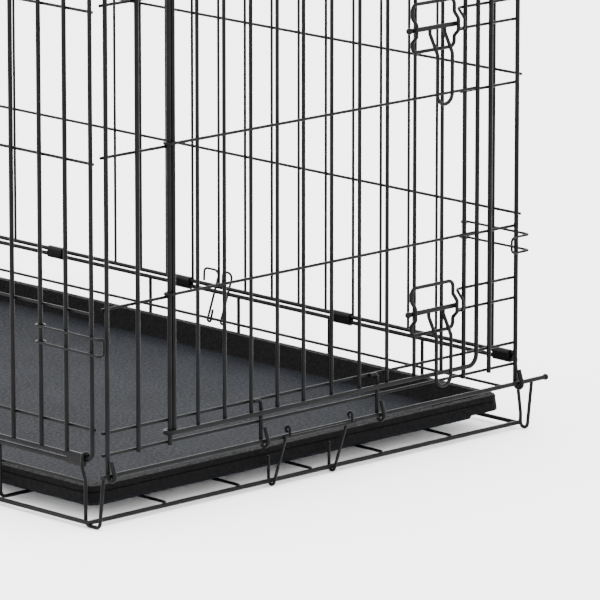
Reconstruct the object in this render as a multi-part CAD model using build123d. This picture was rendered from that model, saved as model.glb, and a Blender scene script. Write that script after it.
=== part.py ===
from build123d import *
import os
from math import asin, atan2, cos, degrees, hypot, radians, sin

os.makedirs("parts", exist_ok=True)

# A folding wire dog crate, about 36 inches long, drawn standing open on the ground.
# +X runs across the crate, the hinged-door end faces -Y, the side with the second
# door faces -X, and +Z is up. All sizes are in millimetres.

# Overall layout
side_plane = 288.2          # from the middle to each side panel's frame
end_plane = 447.2           # from the middle to each end panel's uprights
floor_x = 292.5             # floor perimeter wire, half width
floor_y = 436.0             # floor perimeter wire, half length
floor_z = 5.7               # height of the floor perimeter wire's centre
end_rail_z = 52.1           # rail that each end panel hinges on
right_rail_z, right_bottom_z = 71.8, 77.6
left_rail_z, left_bottom_z = 61.7, 67.5
side_edge_y = 437.2         # side panels' end wires, just inside the end panels
right_top_z = 642.0         # the top panel hinges on this wire
rim_wire_z = 42.4
top_z = 634.0               # plane of the top panel
end_half = 277.6            # end panel's edge uprights, half width
end_top_z, left_top_z = 624.5, 624.5

# Wire sizes
frame_wire = 4.4            # side and top panel frames, and side rails
end_bar = 4.6               # uprights of the end panels and the door frames
thin_bar = 2.9              # upright bars of the plain side and the top
cross_wire = 3.0
door_bar = 3.9
rail_wire = 4.6
top_hinge_wire = 2.8
bolt_wire = 5.0
bite = 0.1                  # how deep two crossing wires are welded into each other
touch = 0.02                # the same for two wires that lie side by side
butt = 0.05                 # how deep a wire's cut end is set into the wire it stands on
play = 0.35                 # running clearance of a curl round a wire

# Heights of the cross wires
end_levels = (213.1, 359.8, 505.5)
sill_z, end_bottom_z = 92.6, 70.7
right_levels = (222.6, 365.5, 508.0)
left_levels = (207.6, 353.5, 499.0)

side_pitch = 40.5
side_bars = [-404.1 + side_pitch * i for i in range(21)]

loop_r = rail_wire / 2 + play + end_bar / 2
end_rail_y = end_plane + loop_r


def wire(p, q, d):
    """A straight round wire from p to q."""
    p, q = Vector(*p), Vector(*q)
    run = q - p
    bar = Cylinder(d / 2, run.length, align=(Align.CENTER, Align.CENTER, Align.MIN))
    return (Plane(origin=p, z_dir=run) * bar).solid()


def swept(path, d):
    """A round wire along a path."""
    return sweep(Plane(origin=path @ 0, z_dir=path % 0) * Circle(d / 2), path=path).solid()


def bent(points, d, radii):
    """A wire bent through the points, with one bend radius for each inner point."""
    path = FilletPolyline(*[Vector(*p) for p in points], radius=radii)
    start = Plane(origin=path @ 0, z_dir=path % 0)
    return sweep(start * Circle(d / 2), path=path, transition=Transition.ROUND).solid()


def elbow(centre, a, b, r, d):
    """A quarter bend of radius r about the centre, from direction a to direction b."""
    c, a, b = Vector(*centre), Vector(*a), Vector(*b)
    return swept(ThreePointArc(c + a * r, c + (a + b).normalized() * r, c + b * r), d)


def ring(centre, axis, start_dir, turn, r, d):
    """Part of a ring of radius r about an axis, starting at start_dir, turning turn degrees."""
    c, k, a = Vector(*centre), Vector(*axis).normalized(), Vector(*start_dir).normalized()
    b = k.cross(a)

    def at(t):
        t = radians(t)
        return c + a * (r * cos(t)) + b * (r * sin(t))

    return swept(ThreePointArc(at(0), at(turn / 2), at(turn)), d)


def rounded_frame(u0, u1, z0, z1, n, r, d):
    """The straight runs and bends of a rounded frame, in panel coordinates (u, n, z)."""
    runs = [
        wire((u0 + r, n, z0), (u1 - r, n, z0), d),
        wire((u0 + r, n, z1), (u1 - r, n, z1), d),
        wire((u0, n, z0 + r), (u0, n, z1 - r), d),
        wire((u1, n, z0 + r), (u1, n, z1 - r), d),
    ]
    bends = [
        elbow((u0 + r, n, z0 + r), (-1, 0, 0), (0, 0, -1), r, d),
        elbow((u1 - r, n, z0 + r), (1, 0, 0), (0, 0, -1), r, d),
        elbow((u0 + r, n, z1 - r), (-1, 0, 0), (0, 0, 1), r, d),
        elbow((u1 - r, n, z1 - r), (1, 0, 0), (0, 0, 1), r, d),
    ]
    return runs + bends


sleeve_bore = frame_wire / 2 + 0.3
sleeve_wall = 1.2


def sleeve(x, y_from, y_to, z_low, z_high):
    """A crimped steel sleeve round two wires that lie one above the other along Y."""
    gap = z_high - z_low
    outer_slot = SlotCenterToCenter(gap, 2 * (sleeve_bore + sleeve_wall))
    inner_slot = SlotCenterToCenter(gap, 2 * sleeve_bore)
    profile = Plane(origin=(x, y_from, (z_low + z_high) / 2), x_dir=(0, 0, 1), z_dir=(0, 1, 0))
    return extrude(profile * (outer_slot - inner_slot), amount=y_to - y_from).solid()


nodes = {}


def node(name, solids):
    nodes[name] = list(solids)


# ---------------------------------------------------------------------------
# Base: floor grid, risers, rails, corner feet and hinge sleeves
# ---------------------------------------------------------------------------
floor_wire = 4.5
grid_wire = 3.0
hoop_wire = 3.6
grid_z = floor_z + floor_wire / 2 + grid_wire / 2 - bite
hoop_z = grid_z - grid_wire / 2 - hoop_wire / 2 + bite
hoop_ys = [-304.0 + 137.0 * i for i in range(5)]
riser_bend = 7.0

floor_outer_x = floor_x + floor_wire / 2
side_run = floor_y - floor_wire / 2 + butt
grid_pitch = 2 * floor_x / 6
grid_run = floor_y + 2.0
node("floor_perimeter_wires", [
    wire((-floor_outer_x, s * floor_y, floor_z), (floor_outer_x, s * floor_y, floor_z), floor_wire) for s in (-1, 1)
] + [
    wire((s * floor_x, -side_run, floor_z), (s * floor_x, side_run, floor_z), floor_wire) for s in (-1, 1)
])
node("floor_long_wires", [
    wire((grid_pitch * i, -grid_run, grid_z), (grid_pitch * i, grid_run, grid_z), grid_wire) for i in range(-2, 3)
])
hoop_end = side_plane - riser_bend
node("floor_cross_wires", [
    wire((-hoop_end, y, hoop_z), (hoop_end, y, hoop_z), hoop_wire) for y in hoop_ys
])


def riser(s, y, top):
    """The end of a floor cross wire, bent up to carry the side rail."""
    z = hoop_z + riser_bend
    return [elbow((s * hoop_end, y, z), (0, 0, -1), (s, 0, 0), riser_bend, hoop_wire),
            wire((s * side_plane, y, z), (s * side_plane, y, top), hoop_wire)]


rail_seat = frame_wire / 2 - bite
node("left_risers", [w for y in hoop_ys for w in riser(-1, y, left_rail_z - rail_seat)])
node("right_risers", [w for y in hoop_ys for w in riser(1, y, right_rail_z - rail_seat)])

rim_wire = 3.0
rim_x = side_plane - hoop_wire / 2 - rim_wire / 2 + bite
rim_run = 421.0
node("pan_guide_wires", [
    wire((s * rim_x, -rim_run, rim_wire_z), (s * rim_x, rim_run, rim_wire_z), rim_wire) for s in (-1, 1)
])

# Each end rail ends over a corner foot at one side and runs on past the other side as a stub.
rail_short = 289.8
crimp_from = 311.0
node("front_rail", [wire((-rail_short, -end_rail_y, end_rail_z), (crimp_from, -end_rail_y, end_rail_z), rail_wire)])
node("rear_rail", [wire((rail_short, end_rail_y, end_rail_z), (-crimp_from, end_rail_y, end_rail_z), rail_wire)])


def crimp(s):
    """The swollen, cropped end of an end rail's stub."""
    profile = Plane(origin=(s * crimp_from, -s * end_rail_y, end_rail_z), z_dir=(s, 0, 0))
    shank = profile * Cylinder(rail_wire / 2, 4, align=(Align.CENTER, Align.CENTER, Align.MIN))
    head = profile * Pos(0, 0, 5.5) * Sphere(3.3)
    return (shank + head).solid()


node("rail_end_crimps", [crimp(1), crimp(-1)])

foot_wire = 3.6
foot_z = foot_wire / 2
foot_bend = 4.5
near_leg_y = 427.3          # foot leg that ends as an eye round a side panel's bottom wire
far_leg_y = 437.0           # foot leg that ends under a side rail
rail_to_eye_leg = near_leg_y - foot_wire / 2 - 0.2
rail_to_far_leg = far_leg_y + 1.8
node("left_rail", [wire((-side_plane, -rail_to_eye_leg, left_rail_z), (-side_plane, rail_to_far_leg, left_rail_z),
                        frame_wire)])
node("right_rail", [wire((side_plane, -rail_to_far_leg, right_rail_z), (side_plane, rail_to_eye_leg, right_rail_z),
                         frame_wire)])

eye_r = frame_wire / 2 + play + foot_wire / 2


def eyed_foot(s, bottom_z):
    """A corner foot: down from the end rail's end, under the floor corner, up to an eye on the side panel."""
    leg_x, eye_x = s * (side_plane + 0.1), s * (side_plane + eye_r)
    y = s * near_leg_y
    foot = bent([(s * 288.0, s * end_rail_y, end_rail_z - rail_wire / 2 + bite), (s * 289.5, s * 448.5, foot_z),
                 (leg_x, y, foot_z), (leg_x, y, bottom_z - 22), (eye_x, y, bottom_z - 9), (eye_x, y, bottom_z)],
                foot_wire, [6.0, 6.0, 4.0, 4.0])
    eye = ring((s * side_plane, y, bottom_z), (0, 1, 0), (s, 0, 0), -s * 235, eye_r, foot_wire)
    return [foot, eye]


def plain_foot(s, rail_z):
    """A corner foot: down from the end rail's stub, beside the floor corner, up to the side rail's end."""
    foot_x = s * (floor_outer_x + foot_wire / 2 - bite)
    y = -s * far_leg_y
    return bent([(foot_x, -s * end_rail_y, end_rail_z - rail_wire / 2 + bite), (foot_x, -s * 446.5, foot_z),
                 (foot_x, y, foot_z), (foot_x, y, foot_z + 14), (s * (side_plane + 0.4), y, rail_z - rail_seat)],
                foot_wire, [foot_bend, foot_bend, 8.0])


node("corner_feet", eyed_foot(-1, left_bottom_z) + eyed_foot(1, right_bottom_z)
     + [plain_foot(1, right_rail_z), plain_foot(-1, left_rail_z)])

left_sleeves = ((-425.0, -404.0), (-211.5, -184.5), (33.0, 60.0), (248.0, 275.0), (409.5, 430.6))
right_sleeves = ((-430.6, -407.5), (-199.5, -172.5), (43.5, 70.5), (246.5, 268.5), (408.5, 425.0))
node("left_hinge_sleeves", [sleeve(-side_plane, *span, left_rail_z, left_bottom_z) for span in left_sleeves])
node("right_hinge_sleeves", [sleeve(side_plane, *span, right_rail_z, right_bottom_z) for span in right_sleeves])

# ---------------------------------------------------------------------------
# Pan: a moulded tray with sloping walls, a rounded rim and an outer skirt
# ---------------------------------------------------------------------------
pan_x, pan_y = 282.0, 427.0
pan_bottom = grid_z + grid_wire / 2 + 0.05
pan_top = 36.0
pan_wall = 2.4
pan_slope = 11.0
pan_lip = 7.0
pan_corner = 16.0
skirt = 15.5
skirt_draft = 2.0
groove_below_top, groove_height, groove_depth = 6.4, 1.2, 0.7


def tapered_plate(low_x, low_y, r_low, grow, z, height):
    """A rounded plate that grows by the given amount all round from its underside to its top."""
    low = Pos(0, 0, z) * RectangleRounded(2 * low_x, 2 * low_y, r_low)
    high = Pos(0, 0, z + height) * RectangleRounded(2 * (low_x + grow), 2 * (low_y + grow), r_low + grow)
    return loft([low, high])


def rounded_plate(half_x, half_y, r, z, height):
    return Pos(0, 0, z) * extrude(RectangleRounded(2 * half_x, 2 * half_y, r), amount=height)


rim_x_half, rim_y_half = pan_x - skirt_draft, pan_y - skirt_draft
tray_x, tray_y = rim_x_half - pan_lip - pan_slope, rim_y_half - pan_lip - pan_slope
tray_height = pan_top - pan_bottom
tray = tapered_plate(tray_x, tray_y, 12, pan_slope, pan_bottom, tray_height)
tray -= tapered_plate(tray_x - pan_wall, tray_y - pan_wall, 10, pan_slope, pan_bottom + pan_wall,
                      tray_height - pan_wall)
skirt_z = pan_top - skirt
lip = tapered_plate(pan_x, pan_y, pan_corner, -skirt_draft, skirt_z, skirt)
lip -= tapered_plate(pan_x - pan_wall, pan_y - pan_wall, pan_corner - pan_wall, -skirt_draft, skirt_z,
                     skirt - pan_wall)
mouth_x, mouth_y = rim_x_half - pan_lip - pan_wall, rim_y_half - pan_lip - pan_wall
lip -= rounded_plate(mouth_x, mouth_y, 20, pan_top - pan_wall, pan_wall)
groove_z = pan_top - groove_below_top
inset = skirt_draft + groove_depth
lip -= (rounded_plate(pan_x + 5, pan_y + 5, pan_corner, groove_z, groove_height)
        - rounded_plate(pan_x - inset, pan_y - inset, pan_corner - groove_depth, groove_z, groove_height))
pan = tray + lip
rim_edges = [e for e in pan.edges().filter_by_position(Axis.Z, pan_top - 0.01, pan_top + 0.01)
             if max(abs(e.center().X) - mouth_x, abs(e.center().Y) - mouth_y) > pan_lip / 2]
node("pan", [fillet(rim_edges, 1.6).solid()])

# ---------------------------------------------------------------------------
# Pan stop: a bail clipped round the front floor wire, with its bar in front of the front rail
# ---------------------------------------------------------------------------
stop_wire = 3.0
stop_loop = floor_wire / 2 + play + stop_wire / 2
stop_bar_y = end_rail_y + rail_wire / 2 + play + stop_wire / 2
stop_arms = (-51.5, 31.0)
stop_bar_ends = (-53.0, 42.0)
stop_curls = (-45.6, 39.4)
stop_tail_z = 30.0
curl_r = 2.9
curl_z = end_rail_z + 7.1

out_by, up_by = stop_bar_y - floor_y, end_rail_z - floor_z
lean = atan2(out_by, up_by) - asin(stop_loop / hypot(out_by, up_by))


def stop_arm(x):
    """One hairpin of the bail: a short tail, a half turn round the floor wire and a long strand to the bar."""
    tail = wire((x, -floor_y + stop_loop, stop_tail_z), (x, -floor_y + stop_loop, floor_z), stop_wire)
    turn = ring((x, -floor_y, floor_z), (1, 0, 0), (0, 1, 0), degrees(lean) - 180, stop_loop, stop_wire)
    short_of_bar = stop_wire / 2 - butt
    strand = wire((x, -floor_y - stop_loop * cos(lean), floor_z - stop_loop * sin(lean)),
                  (x, -stop_bar_y + short_of_bar * sin(lean), end_rail_z - short_of_bar * cos(lean)), stop_wire)
    return [tail, turn, strand]


def stop_curl(x):
    """A finger curl that stands on the bar and turns back over the rail."""
    stem = wire((x, -stop_bar_y, end_rail_z + stop_wire / 2 - touch), (x, -stop_bar_y, curl_z), stop_wire)
    return [stem, ring((x, -stop_bar_y + curl_r, curl_z), (1, 0, 0), (0, -1, 0), -250, curl_r, stop_wire)]


node("pan_stop_arms", [s for x in stop_arms for s in stop_arm(x)])
node("pan_stop_bar", [wire((stop_bar_ends[0], -stop_bar_y, end_rail_z), (stop_bar_ends[1], -stop_bar_y, end_rail_z),
                           stop_wire)])
node("pan_stop_curls", [s for x in stop_curls for s in stop_curl(x)])

# ---------------------------------------------------------------------------
# End panels. Panel coordinates: u across from the left edge, n outwards, z up.
# ---------------------------------------------------------------------------
opening_left, opening_right = 81.0, 481.0
opening_top = 560.0
inner_n = -(end_bar / 2 + cross_wire / 2 - bite)
end_width = 2 * end_half
edge_uprights = (0.0, end_width)
front_uprights = (40.0, opening_left, opening_right, 517.2)
door_bar_us = [117.2 + 35.2 * i for i in range(5)] + [296.1 + 38.1 * i for i in range(5)]
above_door = [(u + v) / 2 for u, v in zip(door_bar_us, door_bar_us[1:])]
cross_overhang = 3.5
bar_low = end_bottom_z - cross_wire / 2 - 1.0
bar_high = end_top_z + cross_wire / 2 + 1.0


def weld_n(n_cross, d, side=1):
    """Where an upright of diameter d stands so that it is welded to cross wires at n_cross."""
    return n_cross + side * ((d + cross_wire) / 2 - bite)


def front_place(solids):
    """From panel coordinates to the front end: u to X, n to -Y."""
    return [(Pos(-end_half, -end_plane, 0) * mirror(s, Plane.XZ)).solid() for s in solids]


def rear_place(solids):
    """From panel coordinates to the rear end: u to -X, n to +Y."""
    return [(Rot(0, 0, 180) * Pos(-end_half, -end_plane, 0) * mirror(s, Plane.XZ)).solid() for s in solids]


def uprights(us, n, z0, z1, d):
    return [wire((u, n, z0), (u, n, z1), d) for u in us]


def cross(z, u0, u1, n=inner_n):
    return wire((u0, n, z), (u1, n, z), cross_wire)


hook_turn = 200
hook_tip = 13.0
short_hooks = (201.5, 360.0)
short_hook_bend = 4.0
short_hook_run = 10.0


def hinge_hook(u, n, d):
    """An upright's lower end, curled forwards under the end rail and back up in front of it."""
    r = loop_r - n
    curl = ring((u, loop_r, end_rail_z), (1, 0, 0), (0, -1, 0), hook_turn, r, d)
    past = radians(hook_turn - 180)
    tip = (u, loop_r + r * cos(past), end_rail_z + r * sin(past))
    end = (u, tip[1] - hook_tip * sin(past), tip[2] + hook_tip * cos(past))
    return [curl, wire(tip, end, d)]


def short_hook(u):
    """A hook wire that rises from the rail and turns left along the sill wire."""
    n = weld_n(inner_n, door_bar) + bite - touch
    r = short_hook_bend
    stem = wire((u, n, end_rail_z), (u, n, sill_z - r), door_bar)
    bend = elbow((u - r, n, sill_z - r), (1, 0, 0), (0, 0, 1), r, door_bar)
    run = wire((u - r, n, sill_z), (u - short_hook_run, n, sill_z), door_bar)
    return [stem, bend, run, *hinge_hook(u, n, door_bar)]


end_hooks = [s for u in edge_uprights for s in hinge_hook(u, 0, end_bar)]
end_hooks += [s for u in short_hooks for s in short_hook(u)]
full = (-cross_overhang, end_width + cross_overhang)
stub = 2.5                  # how far a cross wire runs past the last upright of the opening

node("front_panel_uprights", front_place(
    uprights(edge_uprights, 0, end_rail_z, bar_high, end_bar)
    + uprights(front_uprights, 0, bar_low, bar_high, end_bar)
    + uprights(above_door, weld_n(inner_n, door_bar), opening_top - stub, bar_high, door_bar)))
node("front_panel_cross_wires", front_place(
    [cross(z, *full) for z in (end_bottom_z, sill_z, end_top_z, opening_top)]
    + [cross(z, full[0], opening_left + stub) for z in end_levels]
    + [cross(z, opening_right - stub, full[1]) for z in end_levels]))
node("front_hinge_hooks", front_place(end_hooks))

rear_inner = [end_width / 15 * i for i in range(1, 15)]
node("rear_panel_uprights", rear_place(
    uprights(edge_uprights, 0, end_rail_z, bar_high, end_bar)
    + uprights(rear_inner, weld_n(inner_n, door_bar), bar_low, bar_high, door_bar)))
node("rear_panel_cross_wires", rear_place(
    [cross(z, *full) for z in (end_bottom_z, sill_z, *end_levels, end_top_z)]))
node("rear_hinge_hooks", rear_place(end_hooks))

# ---------------------------------------------------------------------------
# Doors, latch brackets, slide bolts and keepers, in panel coordinates. A door is given by its hinge
# upright's u and n, its latch-side wire's u, its bottom and top heights and its bars' places.
# ---------------------------------------------------------------------------
door_n = 0.8                # the door's bars stand this far in front of the hinge upright
door_bend = 11.0
curl_tail = 8.5
door_frame_n = door_n + door_bar / 2 + end_bar / 2 - bite
door_cross_n = door_n + door_bar / 2 + cross_wire / 2 - bite
above_stub = 3.6            # the door's cross wires pass just above the panel's cut cross wires


def hinge_curl(u, n, z, r, d):
    """A horizontal wire's end, turned round the hinge upright and back behind it."""
    return [ring((u, n, z), (0, 0, 1), (0, 1, 0), 180, r, d),
            wire((u, n - r, z), (u + curl_tail, n - r, z), d)]


def door_frame(hinge_u, hinge_n, latch_u, z0, z1):
    """Bottom and top wires with one rounded latch-side wire between them."""
    n, r = hinge_n + door_frame_n, door_bend
    out = [wire((hinge_u, n, z), (latch_u - r, n, z), end_bar) for z in (z0, z1)]
    out.append(wire((latch_u, n, z0 + r), (latch_u, n, z1 - r), end_bar))
    out.append(elbow((latch_u - r, n, z0 + r), (1, 0, 0), (0, 0, -1), r, end_bar))
    out.append(elbow((latch_u - r, n, z1 - r), (1, 0, 0), (0, 0, 1), r, end_bar))
    return out


def door_bars(hinge_u, hinge_n, us, z0, z1):
    """The door's bars, and a thicker one close beside the hinge upright."""
    beside = (hinge_u + end_bar + 0.4, hinge_n + door_cross_n - cross_wire / 2 - end_bar / 2 + bite)
    return uprights(us, hinge_n + door_n, z0, z1, door_bar) + [wire((*beside, z0), (*beside, z1), end_bar)]


def door_cross(hinge_u, hinge_n, latch_u, levels):
    n = hinge_n + door_cross_n
    end = latch_u - end_bar / 2 + bite
    return [wire((hinge_u, n, z + above_stub), (end, n, z + above_stub), cross_wire) for z in levels]


def door_curls(hinge_u, hinge_n, z0, z1, levels):
    out = []
    for z in (z0, z1):
        out += hinge_curl(hinge_u, hinge_n, z, door_frame_n, end_bar)
    for z in levels:
        out += hinge_curl(hinge_u, hinge_n, z + above_stub, door_cross_n, cross_wire)
    return out


bracket_wire = 3.8
bolt_gap = 0.4
bolt_n = door_n + door_bar / 2 + bolt_gap + bolt_wire / 2
bow_n = bolt_n + bolt_wire / 2 + bolt_gap + bracket_wire / 2
bracket_n = door_n + door_bar / 2 + bracket_wire / 2 - bite
bracket_above, bracket_below = 25.5, 22.5
bracket_bend = 7.0
bracket_past_bar = (7.6, 12.4)   # how far the bracket reaches past the two bars it is welded to
bead_r = 3.3
bolt_past_bracket = 5.5
finger_from_bracket = (35.0, 14.5)
finger_drop, finger_out = 76.0, 11.0


def latch_bracket(u0, u1, z):
    """A rounded wire bracket welded on two door bars, with both sides bowed out over the bolt."""
    z0, z1 = z - bracket_below, z + bracket_above
    out = [wire((u0 + bracket_bend, bracket_n, zz), (u1 - bracket_bend, bracket_n, zz), bracket_wire)
           for zz in (z0, z1)]
    for u, inner in ((u0, u0 + bracket_bend), (u1, u1 - bracket_bend)):
        out.append(bent([(inner, bracket_n, z1), (u, bracket_n, z1), (u, bracket_n, z + 12),
                         (u, bow_n, z + 6), (u, bow_n, z - 6), (u, bracket_n, z - 12),
                         (u, bracket_n, z0), (inner, bracket_n, z0)],
                        bracket_wire, [6.0, 3.0, 3.0, 3.0, 3.0, 6.0]))
    return out


def slide_bolt(u0, u1, z):
    """The bolt rod with a beaded end."""
    rod = wire((u0 + 2, bolt_n, z), (u1, bolt_n, z), bolt_wire)
    return [(rod + Pos(u0, bolt_n, z) * Sphere(bead_r)).solid()]


def finger_loop(u0, u1, z):
    """The hanging finger loop that is welded under the bolt and leans outwards."""
    r = (u1 - u0) / 2
    n_low = bolt_n + finger_out
    z_turn = z - finger_drop + r
    strands = [bent([(u, bolt_n, z - bolt_wire / 2 + butt), (u, bolt_n, z - 6), (u, n_low, z - 26), (u, n_low, z_turn)],
                    bracket_wire, [3.0, 8.0]) for u in (u0, u1)]
    return strands + [ring(((u0 + u1) / 2, n_low, z_turn), (0, 1, 0), (-1, 0, 0), -180, r, bracket_wire)]


keeper_above, keeper_below = 13.0, 8.0


def keeper(u_eye, u_end, z, n_in):
    """A keeper: two wires along the panel, joined by an eye in front of the bolt's nose."""
    z1, z0 = z + keeper_above, z - keeper_below
    start = u_eye + 16
    eye_in, eye_out = bolt_n - 5, bolt_n + 5.2
    return [wire((start, n_in, z1), (u_end, n_in, z1), cross_wire),
            wire((start, n_in, z0), (u_end, n_in, z0), cross_wire),
            bent([(start, n_in, z1), (u_eye + 9, n_in, z1), (u_eye + 4, eye_in, z1), (u_eye + 2, eye_out, z + 5),
                  (u_eye + 2, eye_out, z - 5), (u_eye + 4, eye_in, z0), (u_eye + 9, n_in, z0), (start, n_in, z0)],
                 cross_wire, [4.0, 4.0, 4.0, 4.0, 4.0, 4.0])]


def door(name, place, hinge_u, hinge_n, latch_u, z0, z1, bars, levels, bolt_zs, eye_u):
    """Write all the nodes of one door and of its two slide bolts."""
    node(f"{name}_door_frame", place(door_frame(hinge_u, hinge_n, latch_u, z0, z1)))
    node(f"{name}_door_bars", place(door_bars(hinge_u, hinge_n, bars, z0, z1)))
    node(f"{name}_door_cross_wires", place(door_cross(hinge_u, hinge_n, latch_u, levels)))
    node(f"{name}_door_hinge_curls", place(door_curls(hinge_u, hinge_n, z0, z1, levels)))
    bracket_u = (bars[-2] - bracket_past_bar[0], bars[-1] + bracket_past_bar[1])
    finger_u = [bracket_u[1] - back for back in finger_from_bracket]
    node(f"{name}_latch_brackets", place([s for z in bolt_zs for s in latch_bracket(*bracket_u, z)]))
    for where, z in zip(("lower", "upper"), bolt_zs):
        node(f"{name}_{where}_bolt", place(slide_bolt(bracket_u[0] - bolt_past_bracket, eye_u - 2.5, z)))
        node(f"{name}_{where}_finger_loop", place(finger_loop(*finger_u, z)))


front_door_z = (81.0, 572.0)
front_bolt_zs = (147.0, 432.0)
front_eye_u = 467.0
door("front", front_place, opening_left, 0, 494.0, *front_door_z, door_bar_us, end_levels, front_bolt_zs,
     front_eye_u)
node("front_keepers", front_place(
    [s for z in front_bolt_zs for s in keeper(front_eye_u, end_width + 1.0, z, inner_n)]))

# ---------------------------------------------------------------------------
# Left side panel with the second door. u runs from the rear edge to the front edge.
# ---------------------------------------------------------------------------
side_length = 2 * side_edge_y
panel_bend = 6.4


def left_place(solids):
    """From panel coordinates to the left side: u to -Y, n to -X."""
    return [(Rot(0, 0, -90) * Pos(-side_edge_y, -side_plane, 0) * mirror(s, Plane.XZ)).solid() for s in solids]


def right_place(solids):
    """From panel coordinates to the right side: u to +Y, n to +X."""
    return [(Rot(0, 0, 90) * Pos(-side_edge_y, -side_plane, 0) * mirror(s, Plane.XZ)).solid() for s in solids]


left_hinge_u, left_keeper_u = side_edge_y - 201.5, side_edge_y + 160.5
left_front_bars = [side_edge_y + y for y in (401.0, 364.7, 324.2, 283.7, 243.2)]
left_rear_bars = [side_edge_y - y for y in (405.5, 365.0, 324.5, 284.0, 243.5)]
above_side_door = [left_hinge_u + 20.0 + 36.9 * i for i in range(10)]
seat = frame_wire / 2 - butt
side_cross_n = frame_wire / 2 + cross_wire / 2 - bite
left_bar_n = weld_n(-side_cross_n, end_bar)
left_sill_z = sill_z + 3.0
node("left_side_frame", left_place(
    rounded_frame(0, side_length, left_bottom_z, left_top_z, 0, panel_bend, frame_wire)))
node("left_side_uprights", left_place(
    uprights([*left_front_bars, left_keeper_u, left_hinge_u, *left_rear_bars], left_bar_n,
             left_bottom_z + seat, left_top_z - seat, end_bar)
    + uprights(above_side_door, weld_n(-side_cross_n, door_bar), opening_top - stub, left_top_z - seat, door_bar)))
node("left_side_cross_wires", left_place(
    [cross(z, 0, side_length, -side_cross_n) for z in (left_sill_z, opening_top)]
    + [cross(z, 0, left_hinge_u + stub, -side_cross_n) for z in left_levels]
    + [cross(z, left_keeper_u - stub, side_length, -side_cross_n) for z in left_levels]))

side_door_z = (84.6, 572.0)
side_bolt_zs = (150.0, 432.0)
side_door_bars = [left_hinge_u + 32.8 + 36.9 * i for i in range(9)]
side_eye_u = left_keeper_u - 14.0
door("side", left_place, left_hinge_u, left_bar_n, left_keeper_u + 13.0, *side_door_z, side_door_bars, left_levels,
     side_bolt_zs, side_eye_u)
node("side_keepers", left_place(
    [s for z in side_bolt_zs for s in keeper(side_eye_u, left_front_bars[3] + 1.5, z, -side_cross_n)]))

# ---------------------------------------------------------------------------
# Right side panel: a plain grille
# ---------------------------------------------------------------------------
right_bar_n = weld_n(side_cross_n, thin_bar, -1)
right_seat = frame_wire / 2 - 0.2
right_run = 1.9             # the cross wires end level with the frame's outer edge
node("right_side_frame", right_place(
    rounded_frame(0, side_length, right_bottom_z, right_top_z, 0, panel_bend, frame_wire)))
node("right_side_uprights", right_place(
    uprights([y + side_edge_y for y in side_bars], right_bar_n, right_bottom_z + right_seat,
             right_top_z - right_seat, thin_bar)))
node("right_side_cross_wires", right_place(
    [cross(z, -right_run, side_length + right_run, side_cross_n) for z in right_levels]))

# ---------------------------------------------------------------------------
# Top panel: hinged on the right side's top wire
# ---------------------------------------------------------------------------
top_half_y = side_edge_y
top_right_x, top_left_x = side_plane - 4.8, -290.0
top_overhang = 1.9
top_long_xs = (-98.0, 93.0)
top_bars = [-406.1 + 40.7 * i for i in range(21)]


def flat_wire(x0, y0, x1, y1, z, d):
    return wire((x0, y0, z), (x1, y1, z), d)


def flat_frame(x0, x1, y0, y1, z, r, d):
    """A rounded frame lying flat."""
    runs = [flat_wire(x0 + r, y, x1 - r, y, z, d) for y in (y0, y1)]
    runs += [flat_wire(x, y0 + r, x, y1 - r, z, d) for x in (x0, x1)]
    bends = [elbow((x0 + r, y0 + r, z), (-1, 0, 0), (0, -1, 0), r, d),
             elbow((x1 - r, y0 + r, z), (1, 0, 0), (0, -1, 0), r, d),
             elbow((x0 + r, y1 - r, z), (-1, 0, 0), (0, 1, 0), r, d),
             elbow((x1 - r, y1 - r, z), (1, 0, 0), (0, 1, 0), r, d)]
    return runs + bends


node("top_frame", flat_frame(top_left_x, top_right_x, -top_half_y, top_half_y, top_z, panel_bend, frame_wire))
node("top_cross_bars", [flat_wire(top_left_x + seat, y, top_right_x - seat, y, top_z, thin_bar) for y in top_bars])
top_low_z = top_z - thin_bar / 2 - cross_wire / 2 + bite
node("top_long_wires", [flat_wire(x, -top_half_y - top_overhang, x, top_half_y + top_overhang, top_low_z, cross_wire)
                        for x in top_long_xs])


def top_curl(y):
    """A curl of the top panel round the right side's top wire."""
    r = frame_wire / 2 + play + top_hinge_wire / 2
    dx, dz = top_right_x - side_plane, top_z - right_top_z
    toward = atan2(dz, dx)
    start = (cos(toward), 0, sin(toward))
    near, far = r + 1.2, hypot(dx, dz) - frame_wire / 2 + butt
    loop = ring((side_plane, y, right_top_z), (0, 1, 0), start, 300, r, top_hinge_wire)
    stem = wire((side_plane + start[0] * near, y, right_top_z + start[2] * near),
                (side_plane + start[0] * far, y, right_top_z + start[2] * far), top_hinge_wire)
    return (loop + stem).solid()


node("top_hinge_curls", [top_curl((side_bars[i] + side_bars[i + 1]) / 2) for i in (0, 5, 10, 15, 19)])

# ---------------------------------------------------------------------------
# Corner clasps: hairpin wires hinged on a side bar and turned round the corner of the crate
# ---------------------------------------------------------------------------
clasp_wire = 2.6
clasp_gap = 16.2
clasp_y = end_plane + end_bar / 2 + 0.8 + clasp_wire / 2
eye_turn = 270


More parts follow.
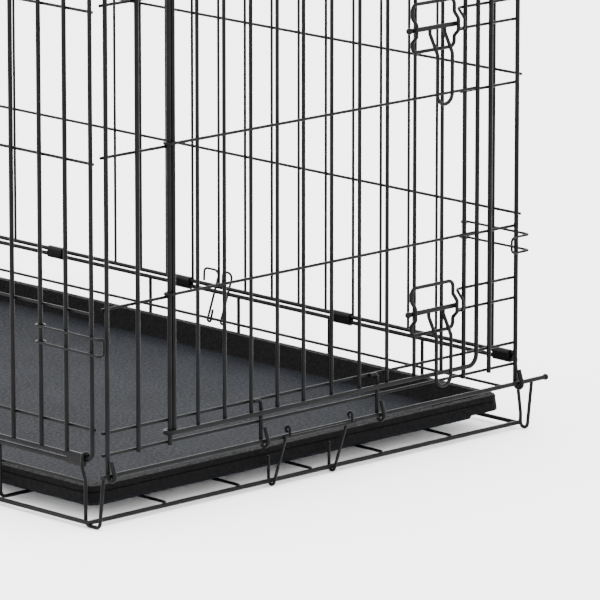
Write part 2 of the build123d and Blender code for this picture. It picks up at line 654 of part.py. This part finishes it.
def clasp(sx, sy, z, bar_x, bar_y, eye, link_x, corner, link_bend):
    """Two strands from eyes on a side bar, round the corner, joined by an upright link."""
    x_out, y_out = sx * (bar_x + eye), sy * clasp_y
    out = []
    for s in (-1, 1):
        zz = z + s * clasp_gap / 2
        out += [
            ring((sx * bar_x, bar_y, zz), (0, 0, 1), (sx, 0, 0), -sx * sy * eye_turn, eye, clasp_wire),
            wire((x_out, bar_y, zz), (x_out, y_out - sy * corner, zz), clasp_wire),
            elbow((x_out - sx * corner, y_out - sy * corner, zz), (sx, 0, 0), (0, sy, 0), corner, clasp_wire),
            wire((x_out - sx * corner, y_out, zz), (sx * (link_x + link_bend), y_out, zz), clasp_wire),
            elbow((sx * (link_x + link_bend), y_out, zz - s * link_bend), (0, 0, s), (-sx, 0, 0), link_bend,
                  clasp_wire),
        ]
    half = clasp_gap / 2 - link_bend
    out.append(wire((sx * link_x, y_out, z - half), (sx * link_x, y_out, z + half), clasp_wire))
    return out


right_clasp_z, left_clasp_z = 195.0, 179.0
right_eye = thin_bar / 2 + play + clasp_wire / 2
left_eye = end_bar / 2 + play + clasp_wire / 2
right_hook = (side_plane + right_bar_n, right_eye, 267.0, 4.0, 5.0)
left_hook = (side_plane + left_bar_n, left_eye, 285.3, 2.9, 2.9)


def place_clasp(name, sx, sy, z, bar_y, hook):
    bar_x, eye, link_x, corner, link_bend = hook
    node(name, clasp(sx, sy, z, bar_x, bar_y, eye, link_x, corner, link_bend))


place_clasp("front_right_clasp", 1, -1, right_clasp_z, side_bars[1], right_hook)
place_clasp("rear_right_clasp", 1, 1, right_clasp_z, side_bars[19], right_hook)
place_clasp("front_left_clasp", -1, -1, left_clasp_z, side_edge_y - left_front_bars[1], left_hook)
place_clasp("rear_left_clasp", -1, 1, left_clasp_z, side_edge_y - left_rear_bars[1], left_hook)

# ---------------------------------------------------------------------------
# Retaining clip: two bent wire hooks that hang over the right side's bottom wire
# ---------------------------------------------------------------------------
clip_wire = 2.6
clip_low_x = side_plane + frame_wire / 2 + play + clip_wire / 2
clip_high_x = side_plane + right_bar_n + thin_bar / 2 + clip_wire / 2 - bite
clip_shape = [(11.7, 50.0), (15.2, 36.5), (20.4, 36.5), (0.0, 94.0)]
clip_bends = [1.9, 1.9, 5.5, 5.5]


def clip(y, arch):
    """One hook of the clip: a hairpin below the rail, a long leg and an arch over the bottom wire."""
    shape = clip_shape + [(arch, 94.0), (arch + 1, 80.0)]
    return bent([(clip_high_x if z > right_bottom_z + 10 else clip_low_x, y + dy, z) for dy, z in shape],
                clip_wire, clip_bends)


node("side_retaining_clip", [clip(2.2, 24.0), clip(-18.0, 15.5)])

# ---------------------------------------------------------------------------
# Put the origin on the ground at the middle of the whole crate, and write the nodes
# ---------------------------------------------------------------------------
shapes = {name: Compound(solids) for name, solids in nodes.items()}
whole = Compound(list(shapes.values())).bounding_box()
middle = Vector((whole.min.X + whole.max.X) / 2, (whole.min.Y + whole.max.Y) / 2, whole.min.Z)
print("moved by", tuple(round(-c, 3) for c in middle), "overall", tuple(round(c, 2) for c in whole.size))
for name, shape in shapes.items():
    export_step(Pos(-middle.X, -middle.Y, -middle.Z) * shape, f"parts/{name}.step")
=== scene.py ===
from math import radians

import bpy
import numpy as np
from mathutils import Euler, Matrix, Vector


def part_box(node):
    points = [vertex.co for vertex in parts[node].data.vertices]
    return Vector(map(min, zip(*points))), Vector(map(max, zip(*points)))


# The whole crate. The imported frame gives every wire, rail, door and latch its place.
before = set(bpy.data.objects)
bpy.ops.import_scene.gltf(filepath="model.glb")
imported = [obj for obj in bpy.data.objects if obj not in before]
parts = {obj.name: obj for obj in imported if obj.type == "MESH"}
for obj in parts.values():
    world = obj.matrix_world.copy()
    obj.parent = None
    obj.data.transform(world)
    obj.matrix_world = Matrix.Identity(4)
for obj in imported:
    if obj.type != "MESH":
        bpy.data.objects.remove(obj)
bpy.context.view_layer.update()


# Welded wire. Drawn steel wire, spot welded at each crossing and then dipped, so one thin
# satin black coat runs over wires and welds alike. It has a faint orange-peel skin, and it
# is a little duller in places where the dip drained off.
def clear_nodes(material):
    """Empties a material's node tree and hands back the tree with a fresh output and shader."""
    material.use_nodes = True
    tree = material.node_tree
    tree.nodes.clear()
    output = tree.nodes.new("ShaderNodeOutputMaterial")
    shader = tree.nodes.new("ShaderNodeBsdfPrincipled")
    tree.links.new(shader.outputs["BSDF"], output.inputs["Surface"])
    return tree, shader


def noise(tree, scale, detail=2.0, roughness=0.5):
    """Smooth noise read at the piece's own place, with scale waves to the metre."""
    place = tree.nodes.new("ShaderNodeTexCoord")
    wave = tree.nodes.new("ShaderNodeTexNoise")
    wave.inputs["Scale"].default_value = scale
    wave.inputs["Detail"].default_value = detail
    wave.inputs["Roughness"].default_value = roughness
    tree.links.new(place.outputs["Object"], wave.inputs["Vector"])
    return wave.outputs["Fac"]


def spread(tree, value, low, high, to_low, to_high):
    """Carries a value from one range to another, and holds it at the ends."""
    change = tree.nodes.new("ShaderNodeMapRange")
    for name, number in (("From Min", low), ("From Max", high), ("To Min", to_low), ("To Max", to_high)):
        change.inputs[name].default_value = number
    tree.links.new(value, change.inputs["Value"])
    return change.outputs["Result"]


def blend_colours(tree, share, dark, light):
    """A colour between dark and light, by share."""
    mix = tree.nodes.new("ShaderNodeMix")
    mix.data_type = "RGBA"
    mix.inputs["A"].default_value = (*dark, 1.0)
    mix.inputs["B"].default_value = (*light, 1.0)
    tree.links.new(share, mix.inputs["Factor"])
    return mix.outputs["Result"]


def raise_surface(tree, shader, height, distance, strength=1.0):
    """Bumps the shader's surface by a height, in metres at full strength."""
    bump = tree.nodes.new("ShaderNodeBump")
    bump.inputs["Distance"].default_value = distance
    bump.inputs["Strength"].default_value = strength
    tree.links.new(height, bump.inputs["Height"])
    tree.links.new(bump.outputs["Normal"], shader.inputs["Normal"])


def dipped_coat(name, dark, light, dull, glossy):
    """Satin dipped coat: slow drifts of shade and gloss, with a fine orange-peel bump."""
    coat = bpy.data.materials.new(name)
    tree, shader = clear_nodes(coat)
    drift = noise(tree, 35.0, 3.0)
    tree.links.new(blend_colours(tree, spread(tree, drift, 0.35, 0.65, 0.0, 1.0), dark, light),
                   shader.inputs["Base Color"])
    tree.links.new(spread(tree, drift, 0.3, 0.7, dull, glossy), shader.inputs["Roughness"])
    raise_surface(tree, shader, noise(tree, 900.0), 0.00012, 0.5)
    shader.inputs["Specular IOR Level"].default_value = 0.06
    return coat


wire_coat = dipped_coat("dipped_wire_coat", (0.0012, 0.0012, 0.0014), (0.0026, 0.0026, 0.0030), 0.42, 0.28)


def coat_nodes(material, *names):
    """Gives CAD pieces one finish all over."""
    for name in names:
        mesh = parts[name].data
        mesh.materials.clear()
        mesh.materials.append(material)


fittings = ("bolt", "finger_loop", "bracket", "clasp", "clip", "pan_stop", "keeper")
pressed = ("sleeve", "crimp")
wire_names = [n for n in parts if n != "pan" and not any(w in n for w in fittings + pressed)]
coat_nodes(wire_coat, *wire_names)

fitting_coat = dipped_coat("dipped_fitting_coat", (0.0014, 0.0014, 0.0016), (0.0030, 0.0030, 0.0034), 0.38, 0.25)
coat_nodes(fitting_coat, *[n for n in parts if any(w in n for w in fittings)])

sleeve_coat = dipped_coat("crimped_sleeve_coat", (0.0012, 0.0012, 0.0013), (0.0024, 0.0024, 0.0026), 0.44, 0.30)
coat_nodes(sleeve_coat, *[n for n in parts if any(w in n for w in pressed)])


# Floor pan. One moulded sheet of dark grey plastic, with a leather grain from the mould.
def grained_plastic(name, floor_top):
    """Moulded plastic: grey on the flat floor, with painted shade making the walls and the rim near black,
    pebbled all over.
    """
    plastic = bpy.data.materials.new(name)
    tree, shader = clear_nodes(plastic)
    drift = blend_colours(tree, spread(tree, noise(tree, 14.0, 4.0), 0.3, 0.7, 0.0, 1.0),
                          (0.0048, 0.0055, 0.0070), (0.0082, 0.0092, 0.0115))
    place = tree.nodes.new("ShaderNodeTexCoord")
    axes = tree.nodes.new("ShaderNodeSeparateXYZ")
    tree.links.new(place.outputs["Object"], axes.inputs["Vector"])
    # Painted shade: above the floor's top, the walls and the rim of the one plastic fade to near black.
    painted_wall_shade = tree.nodes.new("ShaderNodeMix")
    painted_wall_shade.data_type = "RGBA"
    painted_wall_shade.inputs["B"].default_value = (0.0014, 0.0014, 0.0016, 1.0)
    tree.links.new(drift, painted_wall_shade.inputs["A"])
    tree.links.new(spread(tree, axes.outputs["Z"], floor_top + 0.0008, floor_top + 0.003, 0.0, 1.0),
                   painted_wall_shade.inputs["Factor"])
    tree.links.new(painted_wall_shade.outputs["Result"], shader.inputs["Base Color"])
    pebble = tree.nodes.new("ShaderNodeTexVoronoi")
    pebble.feature = "SMOOTH_F1"
    pebble.inputs["Scale"].default_value = 620.0
    tree.links.new(place.outputs["Object"], pebble.inputs["Vector"])
    raise_surface(tree, shader, pebble.outputs["Distance"], 0.0006, 0.7)
    tree.links.new(spread(tree, noise(tree, 300.0), 0.35, 0.65, 0.85, 0.62), shader.inputs["Roughness"])
    shader.inputs["Specular IOR Level"].default_value = 0.04
    return plastic


pan_low, pan_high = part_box("pan")
coat_nodes(grained_plastic("grained_pan_plastic", pan_low[2] + 0.0024), "pan")

# Studio. A pale floor under soft light from above and from the camera's side.
floor_mesh = bpy.data.meshes.new("studio_floor")
floor_mesh.from_pydata([(-6, -6, 0), (6, -6, 0), (6, 6, 0), (-6, 6, 0)], [], [(0, 1, 2, 3)])
studio_floor = bpy.data.objects.new("studio_floor", floor_mesh)
bpy.context.scene.collection.objects.link(studio_floor)
pale = bpy.data.materials.new("pale_floor")
pale_tree, pale_shader = clear_nodes(pale)
pale_shader.inputs["Base Color"].default_value = (0.92, 0.92, 0.92, 1.0)
pale_shader.inputs["Roughness"].default_value = 0.7
floor_mesh.materials.append(pale)

world = bpy.data.worlds.new("soft_sky")
bpy.context.scene.world = world
world.use_nodes = True
world.node_tree.nodes["Background"].inputs["Color"].default_value = (1.0, 1.0, 1.0, 1.0)
world.node_tree.nodes["Background"].inputs["Strength"].default_value = 5.0


def soft_light(name, place, aim, size, power):
    """A square soft box at a place, aimed at a point."""
    lamp = bpy.data.lights.new(name, "AREA")
    lamp.size = size
    lamp.energy = power
    box = bpy.data.objects.new(name, lamp)
    box.location = place
    box.rotation_euler = (Vector(aim) - Vector(place)).to_track_quat("-Z", "Y").to_euler()
    bpy.context.scene.collection.objects.link(box)


soft_light("overhead_box", (-0.4, -0.4, 3.0), (0, 0, 0), 2.6, 60.0)
soft_light("left_box", (-3.0, -1.0, 1.6), (0, 0, 0.2), 1.8, 35.0)

# Camera. A long lens from the near corner, a little above the crate.
lens_camera = bpy.data.cameras.new("long_lens")
lens_camera.sensor_width = 36.0
lens_camera.lens = 6621.0 / 600.0 * 36.0
lens_camera.clip_end = 60.0
eye = bpy.data.objects.new("long_lens", lens_camera)
floor_low, floor_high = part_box("floor_perimeter_wires")
eye.location = (-4.388, (floor_low[1] + floor_high[1]) / 2 - 4.981, 1.5916)
eye.rotation_euler = Euler((radians(90 - 12.61), 0.0, radians(-43.91)), "XYZ")
bpy.context.scene.collection.objects.link(eye)
bpy.context.scene.camera = eye
